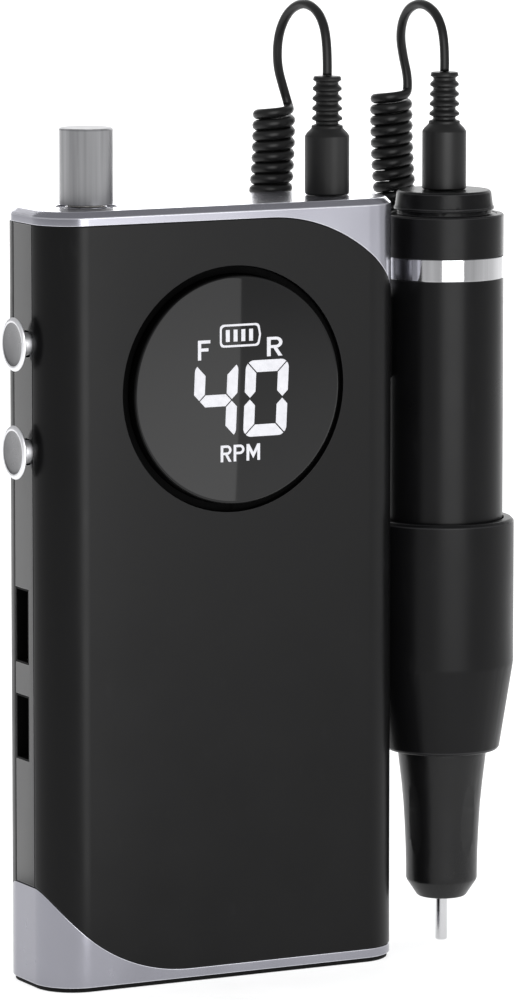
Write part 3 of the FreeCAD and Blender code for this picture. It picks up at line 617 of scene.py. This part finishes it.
def screw_tree():
    """Geometry nodes that set a cross-recess screw on every point, each turned its own way."""
    tree = bpy.data.node_groups.new("cross_screws", "GeometryNodeTree")
    tree.interface.new_socket("Places", in_out="INPUT", socket_type="NodeSocketGeometry")
    for label in ("Head radius", "Head height", "Shank length"):
        tree.interface.new_socket(label, in_out="INPUT", socket_type="NodeSocketFloat")
    tree.interface.new_socket("Finish", in_out="INPUT", socket_type="NodeSocketMaterial")
    tree.interface.new_socket("Screws", in_out="OUTPUT", socket_type="NodeSocketGeometry")
    add = tree.nodes.new
    link = tree.links.new
    given = add("NodeGroupInput").outputs

    def scaled(value, share):
        node = add("ShaderNodeMath")
        node.operation = "MULTIPLY"
        link(value, node.inputs[0])
        node.inputs[1].default_value = share
        return node.outputs[0]

    def vector(x=None, y=None, z=None):
        node = add("ShaderNodeCombineXYZ")
        for socket, value in zip(node.inputs, (x, y, z)):
            if value is not None:
                link(value, socket)
        return node.outputs[0]

    def moved(geometry, shift):
        node = add("GeometryNodeTransform")
        link(geometry, node.inputs["Geometry"])
        link(shift, node.inputs["Translation"])
        return node.outputs["Geometry"]

    head = add("GeometryNodeMeshCone")
    head.inputs["Vertices"].default_value = 40
    link(scaled(given["Head radius"], 0.84), head.inputs["Radius Top"])
    link(given["Head radius"], head.inputs["Radius Bottom"])
    link(given["Head height"], head.inputs["Depth"])
    cut = add("GeometryNodeMeshBoolean")
    cut.operation = "DIFFERENCE"
    link(head.outputs["Mesh"], cut.inputs["Mesh 1"])
    for wide, tall in ((1.2, 0.28), (0.28, 1.2)):
        slot = add("GeometryNodeMeshCube")
        size = vector(scaled(given["Head radius"], wide), scaled(given["Head radius"], tall),
                      given["Head height"])
        link(size, slot.inputs["Size"])
        deep = vector(z=scaled(given["Head height"], 0.75))
        link(moved(slot.outputs["Mesh"], deep), cut.inputs["Mesh 2"])
    shank = add("GeometryNodeMeshCylinder")
    shank.inputs["Vertices"].default_value = 24
    link(scaled(given["Head radius"], 0.5), shank.inputs["Radius"])
    link(given["Shank length"], shank.inputs["Depth"])
    below = moved(shank.outputs["Mesh"], vector(z=scaled(given["Shank length"], -0.5)))
    screw = add("GeometryNodeJoinGeometry")
    link(cut.outputs["Mesh"], screw.inputs["Geometry"])
    link(below, screw.inputs["Geometry"])
    placed = add("GeometryNodeInstanceOnPoints")
    link(given["Places"], placed.inputs["Points"])
    link(screw.outputs["Geometry"], placed.inputs["Instance"])
    placed.inputs["Rotation"].default_value = (-math.pi / 2, 0, 0)
    spin = add("FunctionNodeRandomValue")
    spin.data_type = "FLOAT"
    spin.inputs["Max"].default_value = math.pi / 2
    spin.inputs["Seed"].default_value = 7
    turned_in = add("GeometryNodeRotateInstances")
    link(placed.outputs["Instances"], turned_in.inputs["Instances"])
    spin_value = [socket for socket in spin.outputs if socket.enabled][0]
    link(vector(z=spin_value), turned_in.inputs["Rotation"])
    real = add("GeometryNodeRealizeInstances")
    link(turned_in.outputs["Instances"], real.inputs["Geometry"])
    finish = add("GeometryNodeSetMaterial")
    link(real.outputs["Geometry"], finish.inputs["Geometry"])
    link(given["Finish"], finish.inputs["Material"])
    link(finish.outputs["Geometry"], add("NodeGroupOutput").inputs["Screws"])
    return tree


def add_case_screws():
    low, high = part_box("case_screws")
    reach = SCREW_HEAD * MM
    y = high.y - SCREW_HIGH * MM * 0.5
    places = [(x, y, z) for x in (low.x + reach, high.x - reach) for z in (low.z + reach, high.z - reach)]
    data = bpy.data.meshes.new("screw_places")
    data.from_pydata(places, [], [])
    holder = show("screw_places", data)
    modifier = holder.modifiers.new("screws", "NODES")
    modifier.node_group = screw_tree()
    sizes = {
        "Head radius": SCREW_HEAD * MM, "Head height": SCREW_HIGH * MM,
        "Shank length": (SCREW_LONG - SCREW_HIGH) * MM, "Finish": FINISH["screw_steel"],
    }
    for item in modifier.node_group.interface.items_tree:
        if item.name in sizes:
            modifier[item.identifier] = sizes[item.name]
    screws = fixed(holder, "case_screw_set")
    dress(screws, "case_screws", FINISH["screw_steel"])


add_case_screws()

# ------------------------------------------------------------------ display

CENTRE_X, CENTRE_Z = 0.0007, 0.1149
LENS_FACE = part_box("display_lens")[0].y


def add_lens():
    """The display's black glass, flat with a soft shoulder."""
    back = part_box("display_lens")[1].y
    thick = (back - LENS_FACE) / MM
    profile = [(0, 0), (22.1, 0), (22.1, thick - 0.7)]
    profile += [(21.4 + 0.7 * math.cos(a), thick - 0.7 + 0.7 * math.sin(a))
                for a in [math.radians(9 * k) for k in range(1, 11)]]
    profile += [(0, thick)]
    shoulder = range(1, 8)
    lens = turned("display_lens_glass", profile, (CENTRE_X, back, CENTRE_Z), (0, -1, 0), 128, shoulder)
    dress(lens, "display_lens", FINISH["lens_black"], LENS_RIM)


def plates(name, shapes, thick=0.04, sunk=0.01):
    """Thin flat marks on the lens: each shape is an outer and an inner outline, or one outline."""
    mesh = bmesh.new()

    def corner(spot, out):
        return mesh.verts.new((CENTRE_X + spot[0] * MM, LENS_FACE + (sunk - out) * MM,
                               CENTRE_Z + spot[1] * MM))

    for outline, inner in shapes:
        front = [corner(spot, thick) for spot in outline]
        back = [corner(spot, 0) for spot in outline]
        count = len(outline)
        walls = [(front, back)]
        if inner:
            front_in = [corner(spot, thick) for spot in inner]
            back_in = [corner(spot, 0) for spot in inner]
            walls += [(back_in, front_in), (front_in, front), (back, back_in)]
        else:
            mesh.faces.new(front)
            mesh.faces.new(list(reversed(back)))
        for one, two in walls:
            for k in range(count):
                n = (k + 1) % count
                mesh.faces.new((one[k], one[n], two[n], two[k]))
    bmesh.ops.recalc_face_normals(mesh, faces=mesh.faces)
    data = bpy.data.meshes.new(name)
    mesh.to_mesh(data)
    mesh.free()
    data.materials.append(LIT)
    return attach(show(name, data), "box")


DIGIT_WIDE, DIGIT_TALL, DIGIT_THICK, DIGIT_GAP = 9.3, 14.7, 2.3, 0.17
DIGIT_LOW, DIGIT_LEAN = -9.18, 0.045
LIT_SEGMENTS = {"0": "abcdef", "4": "bcfg"}


def digit(mark, left):
    """Outlines of one seven-segment digit, leaning a little to the right."""
    wide, tall, thick, gap = DIGIT_WIDE, DIGIT_TALL, DIGIT_THICK, DIGIT_GAP
    half, curl = tall / 2, 1.5

    def corner_arc(first, last):
        """Points of the rounded top left corner between two angles."""
        angles = [math.radians(first + (last - first) * k / 4) for k in range(5)]
        return [(curl + curl * math.cos(a), tall - curl + curl * math.sin(a)) for a in angles]

    left_end = [(x + gap, z) for x, z in corner_arc(135, 90)]
    top = left_end + [(wide - x, z) for x, z in reversed(left_end)]
    top += [(wide - thick - gap, tall - thick), (thick + gap, tall - thick)]
    upper = [(x, z - gap) for x, z in corner_arc(180, 135)]
    upper += [(thick, tall - thick - gap), (thick, half + thick / 2 + gap), (thick / 2, half + gap),
              (0, half + thick / 2 + gap)]
    middle = [(thick / 2 + gap, half), (thick + gap, half + thick / 2),
              (wide - thick - gap, half + thick / 2),
              (wide - thick / 2 - gap, half), (wide - thick - gap, half - thick / 2),
              (thick + gap, half - thick / 2)]

    def flipped(outline, sideways, upside):
        return [(wide - x if sideways else x, tall - z if upside else z) for x, z in outline]

    segments = {
        "a": top, "d": flipped(top, False, True), "g": middle, "f": upper,
        "b": flipped(upper, True, False), "e": flipped(upper, False, True),
        "c": flipped(upper, True, True),
    }
    placed = []
    for key in LIT_SEGMENTS[mark]:
        outline = [(left + x + DIGIT_LEAN * (z - half), z + DIGIT_LOW) for x, z in segments[key]]
        placed.append((outline, None))
    return placed


def battery_mark():
    """An outline with a nosed right end and four bars."""
    low, high, left, shoulder, nose = 8.3, 12.7, -3.9, 3.9, 4.95
    middle = (low + high) / 2
    round_off = 0.8
    outline = []
    for cx, cz, first in ((shoulder, high - round_off, 0), (left + round_off, high - round_off, 90),
                          (left + round_off, low + round_off, 180), (shoulder, low + round_off, 270)):
        for k in range(4):
            angle = math.radians(first + 30 * k)
            outline.append((cx + round_off * math.cos(angle), cz + round_off * math.sin(angle)))
    outline.append((nose, middle))
    wall_x, wall_z = 0.4 / ((nose - left) / 2), 0.4 / ((high - low) / 2)
    centre = (left + nose) / 2
    inner = [(x + (centre - x) * wall_x, z + (middle - z) * wall_z) for x, z in outline]
    shapes = [(outline, inner)]
    for k in range(4):
        x, bar, rise = -2.2 + 1.67 * k, 0.42, 1.15
        shapes.append(([(x - bar, middle - rise), (x + bar, middle - rise), (x + bar, middle + rise),
                        (x - bar, middle + rise)], None))
    return shapes


def bowl_and_stem(leg):
    """The strokes of a P, or of an R where it has a leg, in a box one unit wide and tall."""
    stroke, top, waist = 0.24, 1.0, 0.42
    reach, rise = 1.0 - stroke, (top - waist) / 2
    outer, inner = [(stroke, waist), ], [(stroke, waist + 0.15), ]
    for k in range(9):
        angle = math.radians(-90 + 22.5 * k)
        outer.append((0.58 + 0.42 * math.cos(angle), waist + rise + rise * math.sin(angle)))
        inner.append((0.58 + 0.2 * math.cos(angle), waist + rise + (rise - 0.15) * math.sin(angle)))
    outer.append((stroke, top))
    inner.append((stroke, top - 0.15))
    strokes = [[(0, 0), (stroke, 0), (stroke, top), (0, top)]]
    strokes.append(outer + list(reversed(inner)))
    if leg:
        strokes.append([(0.42, waist), (0.42 + stroke, waist), (reach + stroke, 0), (reach - 0.02, 0)])
    return strokes


LETTER_STROKES = {
    "F": [[(0, 0), (0.26, 0), (0.26, 1), (0, 1)], [(0.26, 0.84), (1, 0.84), (1, 1), (0.26, 1)],
          [(0.26, 0.44), (0.85, 0.44), (0.85, 0.6), (0.26, 0.6)]],
    "P": bowl_and_stem(False),
    "R": bowl_and_stem(True),
    "M": [[(0, 0), (0.2, 0), (0.2, 1), (0, 1)], [(0.8, 0), (1, 0), (1, 1), (0.8, 1)],
          [(0.2, 1), (0.2, 0.62), (0.5, 0.12), (0.8, 0.62), (0.8, 1), (0.5, 0.5)]],
}


def lettering(name, text, low, high, gap=0.45):
    """Plain letters side by side in a box on the lens, the last one wider where it is an M."""
    shares = [1.25 if letter == "M" else 1.0 for letter in text]
    unit = (high[0] - low[0] - gap * (len(text) - 1)) / sum(shares)
    tall, left, shapes = high[1] - low[1], low[0], []
    for letter, share in zip(text, shares):
        for stroke in LETTER_STROKES[letter]:
            shapes.append(([(left + x * share * unit, low[1] + z * tall) for x, z in stroke], None))
        left += share * unit + gap
    plates(name, shapes)


add_lens()
plates("digits_mark", digit("4", -9.5) + digit("0", 1.4))
plates("battery_mark", battery_mark())
lettering("forward_mark", "F", (-8.6, 6.1), (-5.95, 9.9))
lettering("reverse_mark", "R", (6.25, 6.15), (9.6, 9.85))
lettering("speed_unit_mark", "RPM", (-3.75, -13.75), (4.75, -10.55))

# ------------------------------------------------------------------ floor and light


def add_floor():
    data = bpy.data.meshes.new("floor")
    reach = 12.0
    data.from_pydata([(-reach, -reach, 0), (reach, -reach, 0), (reach, reach, 0), (-reach, reach, 0)],
                     [], [(0, 1, 2, 3)])
    floor = show("floor", data)
    floor.data.materials.append(
        moulded("floor_paper", (0.86, 0.86, 0.86), 0.7, grain=1.5, depth=0.01, tint=0.01, scuff=1.0))
    return floor


def toward(turn):
    """A level direction, turn degrees to the right of the way from the drill to the camera."""
    angle = math.radians(turn)
    back = Vector((-LOOK.x, -LOOK.y, 0)).normalized()
    right = Vector((-back.y, back.x, 0))
    return back * math.cos(angle) + right * math.sin(angle)


def named_group(name, things):
    group = bpy.data.collections.new(name)
    for thing in things:
        group.objects.link(thing)
    return group


def add_panel(name, spot, aim, wide, tall, glow, receivers):
    """A flat soft light of an even glow that faces a point and falls on the receivers only."""
    data = bpy.data.lights.new(name, "AREA")
    data.shape = "RECTANGLE"
    data.size, data.size_y = wide, tall
    data.energy = glow * math.pi * wide * tall
    light = show(name, data)
    light.location = spot
    light.rotation_euler = (Vector(aim) - Vector(spot)).to_track_quat("-Z", "Y").to_euler()
    light.visible_camera = False
    light.light_linking.receiver_collection = named_group(f"{name}_receivers", receivers)
    return light


def add_standing_panel(name, centre, turns, distance, tall, glow, receivers):
    """A panel that stands on the floor between two turns from the camera's direction."""
    middle, half = (turns[0] + turns[1]) / 2, (turns[1] - turns[0]) / 2
    spot = Vector((centre[0], centre[1], tall / 2)) + toward(middle) * distance
    wide = 2 * distance * math.tan(math.radians(half))
    aim = (centre[0], centre[1], tall / 2)
    add_panel(name, spot, aim, wide, tall, glow, receivers)


HANDPIECE_NODES = ("barrel", "rear_cap", "chrome_ring", "twist_grip", "nose_cone", "handpiece_plug")
COVER_NODES = ("front_cover", "top_cap", "bottom_cap", "box_plug")
BUTTON_NODES = ("power_button", "direction_button")


BAND_MIDDLE = 0.0006
CORNER_IN = 0.009
WASH_BEHIND, WASH_HEIGHT = 1.7, 1.3
WASH_WIDE, WASH_LONG, WASH_GLOW = 3.6, 4.2, 1.8


def add_light(floor):
    world = bpy.data.worlds.new("studio")
    world.use_nodes = True
    world.node_tree.nodes["Background"].inputs["Color"].default_value = (0.98, 0.985, 1.0, 1)
    world.node_tree.nodes["Background"].inputs["Strength"].default_value = 0.5
    bpy.context.scene.world = world
    bpy.context.scene.view_settings.view_transform = "Standard"
    pieces = [t for t in bpy.context.scene.objects if t.type == "MESH" and t is not floor]
    hand = [FINISHED[n] for n in HANDPIECE_NODES] + [bpy.data.objects["bit_finished"]]
    cover = [FINISHED[n] for n in COVER_NODES]
    lens = [bpy.data.objects["display_lens_glass"]]
    cords = [bpy.data.objects[n] for n in ("box_lead", "curly_cord", "handpiece_lead")]
    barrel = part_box("barrel")[0].lerp(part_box("barrel")[1], 0.5)
    display = (CENTRE_X, LENS_FACE, CENTRE_Z)
    buttons = [FINISHED[n] for n in BUTTON_NODES]
    others = [t for t in pieces if t not in buttons and t is not FINISHED["top_cap"]]
    band = (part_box("side_frame")[0].x, BAND_MIDDLE)
    corner = (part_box("front_cover")[0].x + CORNER_IN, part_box("front_cover")[0].y)
    add_standing_panel("handpiece_key", barrel, (-4, 36), 0.45, 0.4, 3.6, hand)
    add_standing_panel("cover_key", display, (22, 55), 0.5, 0.4, 2.5, cover)
    add_standing_panel("cover_fill", display, (55, 95), 0.5, 0.4, 0.7, cover)
    add_standing_panel("corner_strip", corner, (30, 47), 0.07, 0.16, 2.6, cover)
    add_standing_panel("lens_key", display, (22, 55), 0.34, 0.4, 1.45, lens)
    add_standing_panel("lens_fill", display, (55, 95), 0.34, 0.4, 0.25, lens)
    add_standing_panel("side_strip", band, (-150, -124.6), 0.1, 0.2, 4.0, [FINISHED["side_frame"]])
    add_standing_panel("button_key", display, (-40, 75), 0.4, 0.5, 2.2, buttons)
    add_standing_panel("cord_key", barrel, (-25, 25), 0.5, 0.5, 3.0, cords)
    add_standing_panel("backdrop", barrel, (145, 215), 1.0, 0.9, 1.15, others)
    add_standing_panel("top_sheen", barrel, (145, 215), 1.0, 0.9, 3.4, [FINISHED["top_cap"]])
    behind = -toward(0) * WASH_BEHIND
    above = (behind.x, behind.y, WASH_HEIGHT)
    below = (behind.x, behind.y, 0)
    wash = add_panel("floor_wash", above, below, WASH_WIDE, WASH_LONG, WASH_GLOW, [floor])
    wash.light_linking.blocker_collection = named_group("floor_wash_blockers", [floor])


add_light(add_floor())
